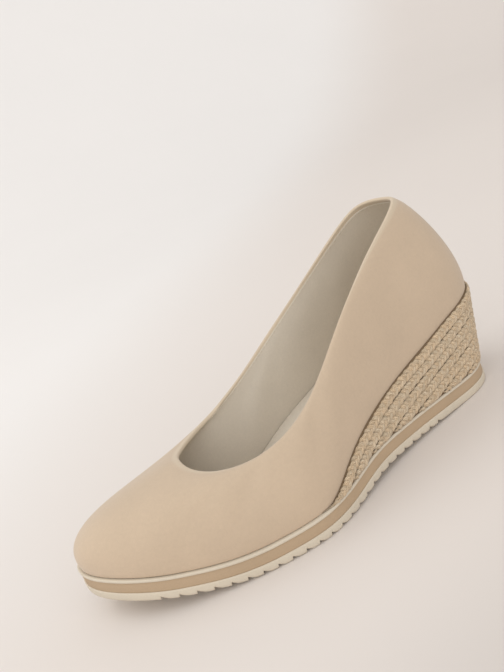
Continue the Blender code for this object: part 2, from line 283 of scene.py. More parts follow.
# Camera of the photograph, round a point on the shoe's middle line
CAMERA_TARGET = (LENGTH / 2, 0.0, 45.0)
CAMERA_AZIMUTH = -25.0
CAMERA_ELEVATION = 16.85
CAMERA_ROLL = -23.6
CAMERA_DISTANCE = 396.1
FOCAL_PIXELS = 763.77
TARGET_PIXEL = (282.5, 410.1)
PHOTO_SIZE = (504, 672)
SENSOR = 36.0

# The stage, in metres
FLOOR_ROWS = 81
FLOOR_COLUMNS = 9
FLOOR_SIDE = 5.0
FLOOR_DEPTH = (-4.0, 1.0)     # from the front to where the floor bends up
FLOOR_BEND = 2.2              # radius of the bend
FLOOR_FLAT = 0.4              # shares of the run at which the bend starts and ends
FLOOR_UPRIGHT = 0.85
FLOOR_RISE = 12.0             # height that a whole run of upright wall would have
KEY_PLACE = (-0.9, 0.6, 1.4)
KEY_AIM = (0, 0, 0.03)
KEY_SIZE = 1.4
KEY_COLOUR = (1.0, 0.985, 0.96)
FRONT_AIM = (0.35, 0.8, -0.5)
FRONT_ANGLE = 1.6             # width of the sun's disc in radians
FRONT_COLOUR = (1.0, 0.99, 0.98)
SKY_COLOUR = (1.0, 0.985, 0.965, 1)
NODES_IN_ROW = 7              # how the materials' nodes are laid out
NODE_SPACING = 240


def column(rows, name):
    """One named column of a table."""
    return np.array([getattr(row, name) for row in rows], float)


def spline(places, values, at, period=None):
    """Cubic spline through a table's points, natural at its ends or closed on itself."""
    at = np.asarray(at, float)
    if period:
        at = (at - places[0]) % period + places[0]
        places = np.append(places, places[0] + period)
        values = np.append(values, values[0])
    count = len(places)
    step = np.diff(places)
    slope = np.diff(values) / step
    system = np.zeros((count, count))
    right = np.zeros(count)
    for i in range(1, count - 1):
        system[i, i - 1:i + 2] = step[i - 1], 2 * (step[i - 1] + step[i]), step[i]
        right[i] = 6 * (slope[i] - slope[i - 1])
    if period:
        system[0, 0], system[0, -1] = 1, -1
        system[-1, [0, 1, -2, -1]] = 2 * step[0], step[0], step[-1], 2 * step[-1]
        right[-1] = 6 * (slope[0] - slope[-1])
    else:
        system[0, 0] = system[-1, -1] = 1
    bend = np.linalg.solve(system, right)
    i = np.clip(np.searchsorted(places, at, side="right") - 1, 0, count - 2)
    a = (places[i + 1] - at) / step[i]
    b = 1 - a
    curve = (a**3 - a) * bend[i] + (b**3 - b) * bend[i + 1]
    return a * values[i] + b * values[i + 1] + step[i]**2 / 6 * curve


def follow(rows, name, at, period=None):
    """The spline through one column of a table."""
    return spline(column(rows, rows[0]._fields[0]), column(rows, name), at, period)


def smooth(edge0, edge1, value):
    """0 before the first edge, 1 after the second, with t*t*(3-2t) between."""
    t = np.clip((value - edge0) / (edge1 - edge0), 0, 1)
    return t * t * (3 - 2 * t)


def bell(offset, width):
    """A bell curve: the exponential of minus the square of offset over width."""
    return np.exp(-(offset / width)**2)


def side_line(share, side):
    """The sole's edge on one side: the table's half width, times the superellipse of the
    heel's and the toe's rounded ends, plus the toe's swing to the medial side."""
    width = follow(OUTLINE, "lateral" if side < 0 else "medial", share)
    heel = np.clip((HEEL_ROUND - share) / HEEL_ROUND, 0, 1)
    toe = np.clip((share - 1 + TOE_ROUND) / TOE_ROUND, 0, 1)
    width = width * (1 - heel**ROUND_POWER)**(1 / ROUND_POWER)
    width = width * (1 - toe**ROUND_POWER)**(1 / ROUND_POWER)
    swing = TOE_SWING * np.clip(2 * share - 1, 0, 1)**2
    return swing + side * width


def turn_at(along):
    """The turn at which the sole's lateral edge passes a distance from the heel's back."""
    return np.arccos(np.clip(1 - 2 * along / LENGTH, -1, 1)) / np.pi


def round_sole(turn):
    """The sole's edge, once round: turn 0 is the heel's back and 1 the toe's tip, and the
    distance along is half the length times 1 - cos(pi turn)."""
    turn = np.asarray(turn, float) % 2
    lateral = turn <= 1
    share = 0.5 * (1 - np.cos(np.pi * np.where(lateral, turn, 2 - turn)))
    across = np.where(lateral, side_line(share, -1), side_line(share, 1))
    return LENGTH * share, across


def inward(turn):
    """The direction square to the sole's edge, towards its middle."""
    small = 0.001
    ahead = np.array(round_sole(turn + small))
    behind = np.array(round_sole(turn - small))
    along, across = (ahead - behind) / np.hypot(*(ahead - behind))
    return -across, along


def underside(along):
    """Height of the sole's underside, flat on the floor at heel and ball."""
    return np.maximum(follow(UNDERSIDE, "height", np.clip(along / LENGTH, 0, 1)), 0)


def wedge_top(along):
    """Height of the wedge's top."""
    last = SEAT[-1].along
    return follow(SEAT, "height", np.minimum(along / LENGTH, last))


def seat(along):
    """Height of the surface that carries upper and insole: the wedge, then the sole."""
    return np.maximum(wedge_top(along), underside(along) + STACK)


def feather(turn, inset=0.0):
    """The upper's lower edge in plan, moved inward by an inset."""
    along, across = round_sole(turn)
    in_along, in_across = inward(turn)
    share = along / LENGTH
    heel = bell(share, INSET_BLEND)
    move = FEATHER_INSET * (1 - (1 - HEEL_INSET_SHARE) * heel) + inset
    back = OVERHANG * np.clip(1 - share / OVERHANG_END, 0, 1)**2
    return along + in_along * move - back, across + in_across * move


def points_of(along, across, height):
    """Joins three coordinates into points."""
    return np.stack(np.broadcast_arrays(along, across, height), axis=-1).astype(float)


# The frame's place of the last: the sole's box is centred on half its length, and its
# medial edge is the outline's widest
HEEL_X = (SOLE_BOX[0].x + SOLE_BOX[1].x) / 2 + LENGTH / 2 * MM
MIDDLE_Y = SOLE_BOX[1].y - side_line(np.linspace(0, 1, 2001), 1).max() * MM


def to_frame(points):
    """From the last's millimetres to the frame's metres, toe towards -X."""
    points = np.asarray(points, float)
    return points * (-MM, MM, MM) + (HEEL_X, MIDDLE_Y, 0.0)


def normals_of(grid):
    """Unit normals of a (rows, columns, 3) grid whose columns close on themselves: the
    cross product of its two slopes."""
    across = np.roll(grid, -1, axis=1) - np.roll(grid, 1, axis=1)
    normal = np.cross(across, np.gradient(grid, axis=0))
    return normal / np.maximum(np.linalg.norm(normal, axis=-1, keepdims=True), 1e-12)


def grid_faces(rows, columns, closed, start=0, looped=False):
    """Quads of a grid, as index rows. Its last column may close on the first, and its last
    row may loop back to the first."""
    index = start + np.arange(rows * columns).reshape(rows, columns)
    if closed:
        index = np.concatenate([index, index[:, :1]], axis=1)
    if looped:
        index = np.concatenate([index, index[:1]])
    corner = (index[:-1, :-1], index[:-1, 1:], index[1:, 1:], index[1:, :-1])
    return np.stack(corner, axis=-1).reshape(-1, 4)


def build_piece(name, points, faces, material, replaced, layers=None, uv=None, merge=False):
    """Makes one object of the shoe. Its faces point out as seen along the last, and the
    mirrored axis of the frame turns them over, so each is reversed here."""
    mesh = bpy.data.meshes.new(name)
    mesh.from_pydata(to_frame(points).tolist(), [], np.asarray(faces)[:, ::-1].tolist())
    for label, values in (layers or {}).items():
        layer = mesh.attributes.new(label, "FLOAT", "POINT")
        layer.data.foreach_set("value", np.asarray(values, np.float32).ravel())
    if uv is not None:
        corners = np.empty(len(mesh.loops), np.int32)
        mesh.loops.foreach_get("vertex_index", corners)
        chart = mesh.uv_layers.new(name="Strand")
        chart.data.foreach_set("uv", np.asarray(uv, np.float32)[corners].ravel())
    if merge:
        work = bmesh.new()
        work.from_mesh(mesh)
        bmesh.ops.remove_doubles(work, verts=work.verts, dist=MERGE)
        bmesh.ops.dissolve_degenerate(work, edges=work.edges, dist=MERGE)
        work.to_mesh(mesh)
        work.free()
    mesh.shade_smooth()
    mesh.materials.append(material)
    piece = bpy.data.objects.new(name, mesh)
    bpy.context.scene.collection.objects.link(piece)
    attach(piece, "root")
    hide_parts(replaced)
    return piece


def edge_length(turn):
    """Length of the sole's edge from the heel's back to a turn."""
    turns = np.linspace(-1, 3, 4001)
    along, across = round_sole(turns)
    length = np.append(0, np.cumsum(np.hypot(np.diff(along), np.diff(across))))
    return np.interp(turn, turns, length)


def upper_points(turn, up):
    """The upper's outer face: a cubic Bezier rib from the feather line to the topline,
    with its two handles set by the rib table."""
    along, across = feather(turn)
    foot = points_of(along, across, seat(along) + FOOT_GAP)
    in_along, in_across = inward(turn)
    rib = {name: follow(RIBS, name, turn, period=2.0) for name in Rib._fields[1:]}
    top = points_of(rib["along"], rib["side"], rib["height"])
    out = points_of(-in_along * rib["bulge"], -in_across * rib["bulge"], rib["rise"])
    lean = (foot - top) * rib["reach"][..., None]
    lean[..., 2] = rib["crown"]
    up = up[..., None]
    down = 1 - up
    return (down**3 * foot + 3 * up * down**2 * (foot + out)
            + 3 * up**2 * down * (top + lean) + up**3 * top)


def seam_turn(up):
    """The medial seam: from the topline it runs down and back to the wedge."""
    return SEAM_FOOT + (SEAM_TOP - SEAM_FOOT) * up**SEAM_BOW


def upper_turns(columns, up):
    """Columns round the upper, drawn sideways near the medial seam so that one of them
    lies on it: each moves by the seam's own shift times a bell curve."""
    middle = seam_turn(0.5)
    even = np.linspace(0, 2, columns, endpoint=False)
    close = middle + np.array(SEAM_SPREAD) / SEAM_SCALE
    even = even[np.abs(even - middle) > SEAM_CLEAR / SEAM_SCALE]
    base = np.sort(np.concatenate([even, close]))
    return base + (seam_turn(up)[:, None] - middle) * bell(base - middle, SEAM_PULL)


def crease_relief(up, distance, sizes):
    """Creases as soft troughs: minus depth times a bell across, with half as much raised
    on both sides, faded in and out along the rib."""
    relief = np.zeros_like(distance)
    for crease in CREASES:
        centre = edge_length(crease.turn + crease.lean * (crease.top - up))
        offset = (distance - centre) / crease.width
        banks = bell(np.abs(offset) - CREASE_BANK, 1)
        fade = smooth(*CREASE_FOOT_FADE, up - crease.foot)
        fade = fade * (1 - smooth(*CREASE_TOP_FADE, up - crease.top))
        trough = bell(offset, 1) - 0.5 * banks
        relief -= sizes.creases * crease.depth * trough * fade
    return relief


def slow_relief(turn, up, sizes):
    """What the whole wall follows: creases and a slow swell of the hand lasted leather."""
    distance = edge_length(turn)
    short, long = SWELL_WAVES
    swell = np.sin(distance / short + 4 * up) * np.sin(distance / long - 3 * up + 1)
    swell = sizes.swell / MM * swell * np.sin(np.pi * up)
    return crease_relief(up, distance, sizes) + swell


def face_relief(turn, up, distance, sizes):
    """What only the outer face has: the medial seam's groove and step, and the turned
    edge's bead."""
    offset = (turn - seam_turn(up)) * SEAM_SCALE
    step = smooth(-SEAM_WIDTH, SEAM_WIDTH, offset) * (1 - smooth(*SEAM_STEP_FADE, offset))
    seam = sizes.seam / MM * bell(offset, SEAM_WIDTH) + SEAM_STEP * step
    seam = seam * smooth(*SEAM_FADE, distance)
    return BEAD * (1 - smooth(*BEAD_FADE, distance)) - seam


def top_distance(grid):
    """Length up each column from a row to the grid's last row."""
    step = np.linalg.norm(np.diff(grid, axis=0), axis=-1)
    return np.concatenate([np.cumsum(step[::-1], axis=0)[::-1], np.zeros_like(step[:1])])


def skin_of(columns, up, sizes):
    """The upper's skin with its slow relief, drawn in near the topline by a square law of
    the distance to it. Returns its points, their normals, turns and distances."""
    rows = np.concatenate([up, np.linspace(up[-1], 1, 5)[1:]]) if up[-1] < 1 else up
    turn = upper_turns(columns, rows)
    rise = np.broadcast_to(rows[:, None], turn.shape)
    skin = upper_points(turn, rise)
    skin = skin + normals_of(skin) * slow_relief(turn, rise, sizes)[..., None]
    normal = normals_of(skin)
    distance = top_distance(skin)
    curl = np.clip(1 - distance / COLLAR_CURL_WIDE, 0, 1)**2
    skin = skin - normal * sizes.curl / MM * curl[..., None]
    return tuple(part[:len(up)] for part in (skin, normal, turn, distance))


def wall_grid(columns, up, near, far, rounds, sizes, relief=None):
    """A closed wall round the foot: rows up its outer side, round the top, down its inner
    side and round the foot. near and far are its two faces' distances inside the skin,
    and relief is a function for the outer face alone."""
    skin, normal, turn, distance = skin_of(columns, up, sizes)
    climb = np.gradient(skin, axis=0)
    climb /= np.linalg.norm(climb, axis=-1, keepdims=True)
    outer = skin - normal * near
    if relief is not None:
        outer = outer + normal * relief(turn, up[:, None], distance, sizes)[..., None]
    inner = skin - normal * far
    angle = np.linspace(0, np.pi, rounds + 2)[1:-1, None, None]
    middle = (outer + inner) / 2
    half = (outer - inner) / 2
    radius = np.linalg.norm(half, axis=-1, keepdims=True)
    over = middle[-1] + np.cos(angle) * half[-1] + np.sin(angle) * radius[-1] * climb[-1]
    under = middle[0] - np.cos(angle) * half[0] - FOOT_ROUND * np.sin(angle) * radius[0] * climb[0]
    grid = np.concatenate([outer, over, inner[::-1], under])
    return grid, turn, distance


def make_upper(look, sizes):
    """The upper: one wall with its turned edge, its creases and its medial seam."""
    up = np.linspace(UPPER_START, 1, UPPER_ROWS)
    grid, turn, edge = wall_grid(UPPER_COLUMNS, up, 0.0, UPPER_WALL, UPPER_ROUNDS, sizes,
                                 face_relief)
    rows, columns = grid.shape[:2]
    # Painted highlight of the rolled edge: the outer face takes the edge colour over its last few
    # millimetres below the topline, and the rounded top and the inner face take it whole.
    rim = np.zeros((rows, columns))
    rim[:UPPER_ROWS] = 1 - smooth(*EDGE_HIGHLIGHT_FADE, edge)
    rim[UPPER_ROWS:2 * UPPER_ROWS + UPPER_ROUNDS] = 1
    seam = np.zeros((rows, columns))
    offset = (turn - seam_turn(up)[:, None]) * SEAM_SCALE
    seam[:UPPER_ROWS] = bell(offset, SEAM_DARK)
    layers = {"rim": rim, "seam": seam}
    faces = grid_faces(rows, columns, True, looped=True)
    return build_piece("upper_nubuck", grid.reshape(-1, 3), faces, look, "upper",
                       layers)


def make_lining(look, sizes):
    """The lining: a thin wall inside the upper that ends a little below the edge."""
    up = np.linspace(LINING_START, LINING_TOP, 60)
    grid = wall_grid(300, up, UPPER_WALL + LINING_BACK, UPPER_WALL + LINING_FACE, 3, sizes)[0]
    faces = grid_faces(*grid.shape[:2], True, looped=True)
    return build_piece("lining", grid.reshape(-1, 3), faces, look, "upper")


def stitches_along(path, side, face, sizes):
    """Points and faces of one row of stitches: each a short spindle that lies along the
    path, sunk at both ends, with its waist standing off the face."""
    length = sizes.stitch / MM
    radius = sizes.thread / MM / 2
    step = np.linalg.norm(np.diff(path, axis=0), axis=1)
    reach = np.append(0, np.cumsum(step))
    count = int(reach[-1] / (length + STITCH_GAP))
    centre = (np.arange(count) + 0.5) * reach[-1] / count
    span = np.linspace(-0.5, 0.5, STITCH_RINGS)
    at = centre[:, None] + span * length
    core, out, edge = (np.stack([np.interp(at, reach, line[:, k]) for k in range(3)], axis=-1)
                       for line in (path, face, side))
    arch = np.cos(np.pi * span)[None, :, None]
    core = core + out * (arch - STITCH_SINK) * radius
    angle = np.linspace(0, 2 * np.pi, STITCH_SIDES, endpoint=False)[None, None, :, None]
    thick = radius * (STITCH_TIP + (1 - STITCH_TIP) * arch[..., None])
    ring = core[:, :, None] + thick * (np.cos(angle) * out[:, :, None]
                                       + np.sin(angle) * edge[:, :, None])
    starts = STITCH_RINGS * STITCH_SIDES * np.arange(count)[:, None, None]
    faces = grid_faces(STITCH_RINGS, STITCH_SIDES, True) + starts
    return ring.reshape(-1, 3), faces.reshape(-1, 4)


def make_edge_stitches(look, sizes):
    """The row of stitches that holds lining and upper together, inside the collar."""
    up = np.linspace(STITCH_BAND, LINING_TOP, 7)
    skin, normal = skin_of(1200, up, sizes)[:2]
    row = 4
    path = skin[row] - normal[row] * (UPPER_WALL + LINING_FACE)
    climb = skin[row + 1] - skin[row]
    climb /= np.linalg.norm(climb, axis=-1, keepdims=True)
    points, faces = stitches_along(path, climb, -normal[row], sizes)
    return build_piece("edge_stitches", points, faces, look, "upper")


def sole_edge(turn, inset):
    """The sole's edge, moved square to itself by an inset."""
    along, across = round_sole(turn)
    in_along, in_across = inward(turn)
    return along + in_along * inset, across + in_across * inset


def ring_solid(name, turns, profile, heights, look, replaced,
               edge=sole_edge, crown=None, cut=None):
    """A layer under the foot. turns run from the heel (0) to the toe (1); at each one the
    edge profile is carried in from the edge, and straight rows close the top and the
    bottom from side to side. heights holds two functions of the distance along the sole,
    the layer's bottom and its top."""
    bottom, top = heights
    inset = column(profile, "inset")[:, None]
    share = column(profile, "height")[:, None]
    ring = np.concatenate([turns, 2 - turns[-2:0:-1]])
    along, across = edge(ring, inset)
    low = bottom(along)
    if cut is not None:
        low = low + cut(np.minimum(round_sole(ring)[0], LENGTH))
    high = np.broadcast_to(top(along), along.shape)
    side = points_of(along, across, low + (high - low) * share)
    rows, columns = side.shape[:2]
    last = len(turns) - 1
    faces = [grid_faces(rows, columns, True)[:, ::-1]]
    points = [side.reshape(-1, 3)]
    count = rows * columns
    blend = np.linspace(0, 1, CAP_COLUMNS + 1)[None, :, None]
    for row, shape in ((0, crown), (rows - 1, None)):
        lateral = side[row, :last + 1]
        medial = side[row, (-np.arange(last + 1)) % columns]
        cap = lateral[:, None] * (1 - blend) + medial[:, None] * blend
        if shape is not None:
            cap[..., 2] += shape(cap[..., 0], blend[..., 0])
        quads = grid_faces(last + 1, CAP_COLUMNS + 1, False, count)
        faces.append(quads[:, ::-1] if row == 0 else quads)
        points.append(cap.reshape(-1, 3))
        count += cap.shape[0] * cap.shape[1]
    return build_piece(name, np.concatenate(points), np.concatenate(faces), look,
                       replaced, merge=True)


def tooth_cut(along):
    """Depth cut into the tread: at each tooth's rear a steep step down to the tip, then
    the flat tip, then a hollow ramp up to the full depth at its front."""
    end = TOOTH_START + TOOTH_COUNT * TOOTH_PITCH
    part = np.mod(along - TOOTH_START, TOOTH_PITCH)
    step = 1 - smooth(0, TOOTH_STEP, part)
    land = TOOTH_STEP + TOOTH_LAND
    ramp = np.clip((part - land) / (TOOTH_PITCH - land), 0, 1)
    cut = TOOTH_DEPTH * np.maximum(step, ramp**TOOTH_HOLLOW)
    cut = np.where(along < TOOTH_START + TOOTH_STEP, 0, cut)
    return np.where(along > end + TOOTH_STEP, 0, cut)


def tread_turns():
    """Turns at which the tread has a section: even at heel and toe, and at each tooth's
    corners with one or two between them."""
    even = np.linspace(0, 1, 150)
    along = round_sole(even)[0]
    end = TOOTH_START + TOOTH_COUNT * TOOTH_PITCH + TOOTH_STEP
    outside = even[(along < TOOTH_START) | (along > end + TREAD_GAP)]
    land = TOOTH_STEP + TOOTH_LAND
    ramp = TOOTH_PITCH - land
    part = np.array([*TOOTH_PARTS, (TOOTH_STEP + land) / 2,
                     *(land + share * ramp for share in RAMP_PARTS),
                     TOOTH_PITCH - RAMP_GAP])
    teeth = (TOOTH_START + TOOTH_PITCH * np.arange(TOOTH_COUNT)[:, None] + part).ravel()
    tail = end - np.array(TOOTH_PARTS[-2::-1])
    return np.sort(np.concatenate([outside, turn_at(teeth), turn_at(tail)]))


def tread_bottom(along):
    """The outsole's lower face without its teeth, with the heel's rounded back corner."""
    short = np.clip(HEEL_CORNER - along, 0, HEEL_CORNER)
    corner = HEEL_CORNER - np.sqrt(HEEL_CORNER**2 - short**2)
    return underside(along) + HEEL_CORNER_CUT * corner


def level(height):
    """A surface at a height above the sole's underside."""
    return lambda along: underside(along) + height


def make_outsole(look):
    """The toothed bottom layer."""
    return ring_solid("outsole_rubber", tread_turns(), OUTSOLE_PROFILE,
                      (tread_bottom, level(OUTSOLE_TOP)), look, "outsole",
                      cut=tooth_cut)


def make_stripe(look):
    """The tan stripe, hollowed a little along its middle."""
    return ring_solid("tan_stripe", np.linspace(0, 1, SOLE_SECTIONS), STRIPE_PROFILE,
                      (level(OUTSOLE_TOP), level(MIDSOLE_TOP)), look,
                      "midsole_band")


def make_rim(look):
    """The light rim on top of the sole, with its rounded upper edge."""
    return ring_solid("rim", np.linspace(0, 1, SOLE_SECTIONS), RIM_PROFILE,
                      (level(MIDSOLE_TOP), level(STACK)), look, "rim_band")


def make_sock(look):
    """The sock on the shoe's floor, dished at heel and ball and raised under the arch."""
    def edge(turn, inset):
        return feather(turn, inset + UPPER_WALL + SOCK_INSET)

    def crown(along, blend):
        middle = np.sin(np.pi * np.clip(blend, 0, 1))**SOCK_ROUND
        heel, ball, arch = (dish.height * bell(along - dish.along, dish.length)
                            for dish in SOCK_DISHES)
        return middle * (SOCK_CROWN + heel + ball + arch * smooth(*ARCH_SIDE, blend))

    heights = (lambda along: seat(along) + SOCK_GAP,
               lambda along: seat(along) + SOCK_GAP + INSOLE_THICK)
    return ring_solid("sock", np.linspace(0, 1, 160), SOCK_PROFILE, heights, look,
                      "insole", edge=edge, crown=crown)


def wedge_side(turn, depth):
    """The wedge's bare side: a straight line from the seat's edge down to the rim at each
    turn, cut at a depth below the seat. Returns the point and the line's full height."""
    along, across = feather(turn, -WEDGE_LEDGE)
    top = points_of(along, across, wedge_top(along))
    in_along, in_across = inward(turn)
    along, across = round_sole(turn)
    along = along + in_along * WEDGE_FOOT_INSET
    across = across + in_across * WEDGE_FOOT_INSET
    foot = points_of(along, across, underside(along) + STACK)
    height = top[..., 2] - foot[..., 2]
    share = np.minimum(depth / np.maximum(height, 0.2), 1.5)[..., None]
    return top + (foot - top) * share, height


def wedge_end():
    """The turn at which the wedge has thinned to its nose."""
    turns = np.linspace(0.3, 0.8, 501)
    height = wedge_side(turns, np.zeros(501))[1]
    return turns[np.argmax(height < WEDGE_NOSE)]


def make_core(look):
    """The wedge's core, which shows only between the strands, coloured dark as a painted shade
    there.
    """
    turns = np.linspace(0, wedge_end() + CORE_RUN, 90)
    down = np.linspace(0, 1, 14)
    height = wedge_side(turns, turns * 0)[1]
    depth = height[:, None] * down
    halves = []
    for mirrored in (turns, 2 - turns):
        spread = np.broadcast_to(mirrored[:, None], depth.shape)
        side = wedge_side(spread, depth)[0]
        in_along, in_across = inward(spread)
        side[..., 0] += in_along * CORE_INSET
        side[..., 1] += in_across * CORE_INSET
        halves.append(side)
    blend = np.linspace(0, 1, 9)[1:-1, None]
    lateral, medial = halves
    under = lateral[:, -1:] * (1 - blend) + medial[:, -1:] * blend
    over = medial[:, :1] * (1 - blend) + lateral[:, :1] * blend
    ring = np.concatenate([lateral, under, medial[:, ::-1], over], axis=1)
    rows, columns = ring.shape[:2]
    middle = np.broadcast_to(ring[-1].mean(axis=0), ring[-1:].shape)
    ring = np.concatenate([ring, middle])
    return build_piece("wedge_core", ring.reshape(-1, 3), grid_faces(rows + 1, columns, True),
                       look, "wedge", merge=True)


def strand_path(depth, phase, end, sizes):
    """The middle line of one strand of the row at a depth: it swings by sin(p) across the row
    and lifts by sin(2p), p growing with the row's length, and dives into the core where the
    row runs out on the rim. Returns the line and, along it, the length so far, the direction
    out of the wedge, the lift and the strand's thinning."""
    width = sizes.strand_width / MM
    thickness = sizes.strand_thickness / MM
    first = depth < ROPE_PITCH
    turns = np.linspace(-end, end, ROW_STEPS)
    line, height = wedge_side(turns, np.full(turns.shape, depth))
    inside = height > (-np.inf if first else depth - ROW_OVERRUN)
    line, turns = line[inside], turns[inside]
    reach = np.append(0, np.cumsum(np.linalg.norm(np.diff(line, axis=0), axis=1)))
    at = np.linspace(0, reach[-1], max(int(reach[-1] / STRAND_STEP), 12))
    turn = np.interp(at, reach, turns)
    swing = 2 * np.pi * (at - reach[-1] / 2) / PLAIT_PERIOD + phase
    wander = WANDER[0] * np.sin(at / WANDER_WAVES[0] + 5 * phase + depth)
    wander = wander + WANDER[1] * np.sin(at / WANDER_WAVES[1] + 2 * depth)
    place = depth + PLAIT_SWING * np.sin(swing) + wander
    lift = PLAIT_BASE + PLAIT_LIFT * np.sin(2 * swing) + 0.5 * wander
    height = wedge_side(turn, place)[1]
    length, tip = (NOSE_FADE, NOSE_TIP) if first else (STRAND_END, STRAND_TIP)
    fade = smooth(0, length, at) * smooth(0, length, at[-1] - at)
    if first:
        narrow = np.clip(height / ROPE_PITCH, NOSE_NARROW, 1)
        place = place * narrow
        lift = lift * fade - NOSE_SINK * (1 - fade)
    else:
        narrow = np.ones_like(at)
        room = height - 0.42 * width
        lift = lift - RIM_SINK * np.clip(place - room, 0, 2)
        place = np.minimum(place, np.maximum(room, 0.4 * height))
    middle = wedge_side(turn, np.maximum(place, FIRST_ROW_TOP * narrow))[0]
    floor = underside(middle[:, 0]) + STACK + 0.25 * width * narrow + 0.3 * thickness
    middle[:, 2] = np.maximum(middle[:, 2], floor)
    in_along, in_across = inward(turn)
    out = points_of(-in_along, -in_across, 0.0)
    thin = (tip + (1 - tip) * fade) * (0.5 + 0.5 * narrow)
    return middle + out * lift[:, None], at, out, lift, thin


def plait_strand(depth, phase, end, sizes):
    """One strand: a flat oval ring carried along its middle line, its size waved round and
    along by the twist of its two plies. Returns the rings, their map (length along the
    strand, share of the way round) and their lift."""
    middle, at, out, lift, thin = strand_path(depth, phase, end, sizes)
    run = np.gradient(middle, axis=0)
    run /= np.linalg.norm(run, axis=1, keepdims=True)
    across = np.cross(out, run)
    across /= np.linalg.norm(across, axis=1, keepdims=True)
    out = np.cross(run, across)
    angle = np.linspace(0, 2 * np.pi, STRAND_SIDES, endpoint=False)
    ply = 1 + PLY_DEPTH * np.cos(2 * (angle - 2 * np.pi * at[:, None] / PLY_PITCH / 2))
    radius = 0.5 / MM * thin[:, None] * ply
    wide = sizes.strand_width * radius * np.cos(angle)
    thick = sizes.strand_thickness * radius * np.sin(angle)
    ring = middle[:, None] + wide[..., None] * across[:, None] + thick[..., None] * out[:, None]
    chart = np.stack(np.broadcast_arrays(at[:, None], angle / (2 * np.pi) + phase), axis=-1)
    return ring, chart, np.broadcast_to(lift[:, None], ring.shape[:2])


def make_plaits(look, sizes):
    """The rows of plaited rope round the wedge, each of three strands."""
    end = wedge_end() + NOSE_RUN
    points, faces, charts, lifts, tints = [], [], [], [], []
    count = 0
    deepest = wedge_side(np.zeros(1), np.zeros(1))[1][0]
    for row in range(int(deepest / ROPE_PITCH + 0.6)):
        for strand in range(3):
            phase = strand * 2 * np.pi / 3 + ROW_PHASE * row
            ring, chart, lift = plait_strand(ROPE_PITCH * (row + 0.5), phase, end, sizes)
            rows, columns = ring.shape[:2]
            ends = [0, *range(rows), rows - 1]
            ring, chart, lift = ring[ends], chart[ends], lift[ends]
            ring[[0, -1]] = ring[[0, -1]].mean(axis=1, keepdims=True)
            points.append(ring.reshape(-1, 3))
            faces.append(grid_faces(rows + 2, columns, True, count))
            charts.append(chart.reshape(-1, 2))
            lifts.append(lift.ravel())
            tints.append(np.full(lift.size, (0.37 * strand + 0.61 * row) % 1.0))
            count += ring.shape[0] * ring.shape[1]
    layers = {"lift": np.concatenate(lifts), "tint": np.concatenate(tints)}
    return build_piece("rope_plaits", np.concatenate(points), np.concatenate(faces), look,
                       "wedge", layers, np.concatenate(charts), merge=True)


def feed(tree, value, socket):
    """Links a socket to an input, or sets the input to a value."""
    if isinstance(value, bpy.types.NodeSocket):
        tree.links.new(value, socket)
    else:
        socket.default_value = value


def add_node(tree, kind, inputs=None, **settings):
    """A shader node with its settings and its inputs, which are sockets or values. Nodes are
    laid out in rows, in the order in which they are made."""
    item = tree.nodes.new("ShaderNode" + kind)
    row, column = divmod(len(tree.nodes), NODES_IN_ROW)
    item.location = (column * NODE_SPACING, -row * NODE_SPACING)
    for name, value in settings.items():
        setattr(item, name, value)
    for name, value in (inputs or {}).items():
        feed(tree, value, item.inputs[name])
    return item


def add_math(tree, operation, first, second=0.0):
    """The result of a maths node."""
    return add_node(tree, "Math", {0: first, 1: second}, operation=operation).outputs[0]


def add_noise(tree, place, scale, **more):
    """The value of a noise at a place."""
    inputs = {"Vector": place, "Scale": scale, **more}
    return add_node(tree, "TexNoise", inputs).outputs[0]


def add_range(tree, value, start, end, first=0.0, last=1.0, kind="LINEAR"):
    """A value's stretch from start to end, made a stretch from first to last."""
    inputs = {"Value": value, "From Min": start, "From Max": end, "To Min": first, "To Max": last}
    return add_node(tree, "MapRange", inputs, interpolation_type=kind).outputs[0]


def add_mix(tree, share, first, second, blend="MIX"):
    """A mix of two colours."""
    inputs = {"Factor": share, 6: first, 7: second}
    return add_node(tree, "Mix", inputs, data_type="RGBA", blend_type=blend).outputs[2]


def add_tone(tree, ground, share, low, high):
    """A colour times a tone that runs from low to high with the share."""
    tone = add_mix(tree, share, (*low, 1.0), (*high, 1.0))
    return add_mix(tree, 1.0, ground, tone, "MULTIPLY")


def attribute(tree, name):
    """One of a piece's own values."""
    return add_node(tree, "Attribute", attribute_name=name).outputs["Fac"]


def object_place(tree):
    """The piece's own coordinates."""
    return add_node(tree, "TexCoord").outputs["Object"]


def grey(level):
    """A neutral tone."""
    return (level, level, level)


def opaque(color, factor=1.0):
    """A property's colour as a shader's, times a factor."""
    return (color[0] * factor, color[1] * factor, color[2] * factor, 1.0)


def new_group(name, **inputs):
    """A shader node group with named inputs, each with its default, and its input sockets."""
    group = bpy.data.node_groups.new(name, "ShaderNodeTree")
    for label, default in inputs.items():
        socket = group.interface.new_socket(label, in_out="INPUT", socket_type="NodeSocketFloat")
        socket.default_value = default
    return group, group.nodes.new("NodeGroupInput").outputs


def close_group(group, **outputs):
    """Gives a group its named outputs."""
    for label in outputs:
        group.interface.new_socket(label, in_out="OUTPUT", socket_type="NodeSocketFloat")
    leave = group.nodes.new("NodeGroupOutput")
    leave.location = (NODES_IN_ROW * NODE_SPACING, 0)
    for label, value in outputs.items():
        feed(group, value, leave.inputs[label])
    return group


def place_group(tree, name, build, **inputs):
    """The outputs of a shared group, with this material's own values. The group is built the
    first time that it is asked for."""
    group = bpy.data.node_groups.get(name) or build(name)
    return add_node(tree, "Group", inputs, node_tree=group).outputs


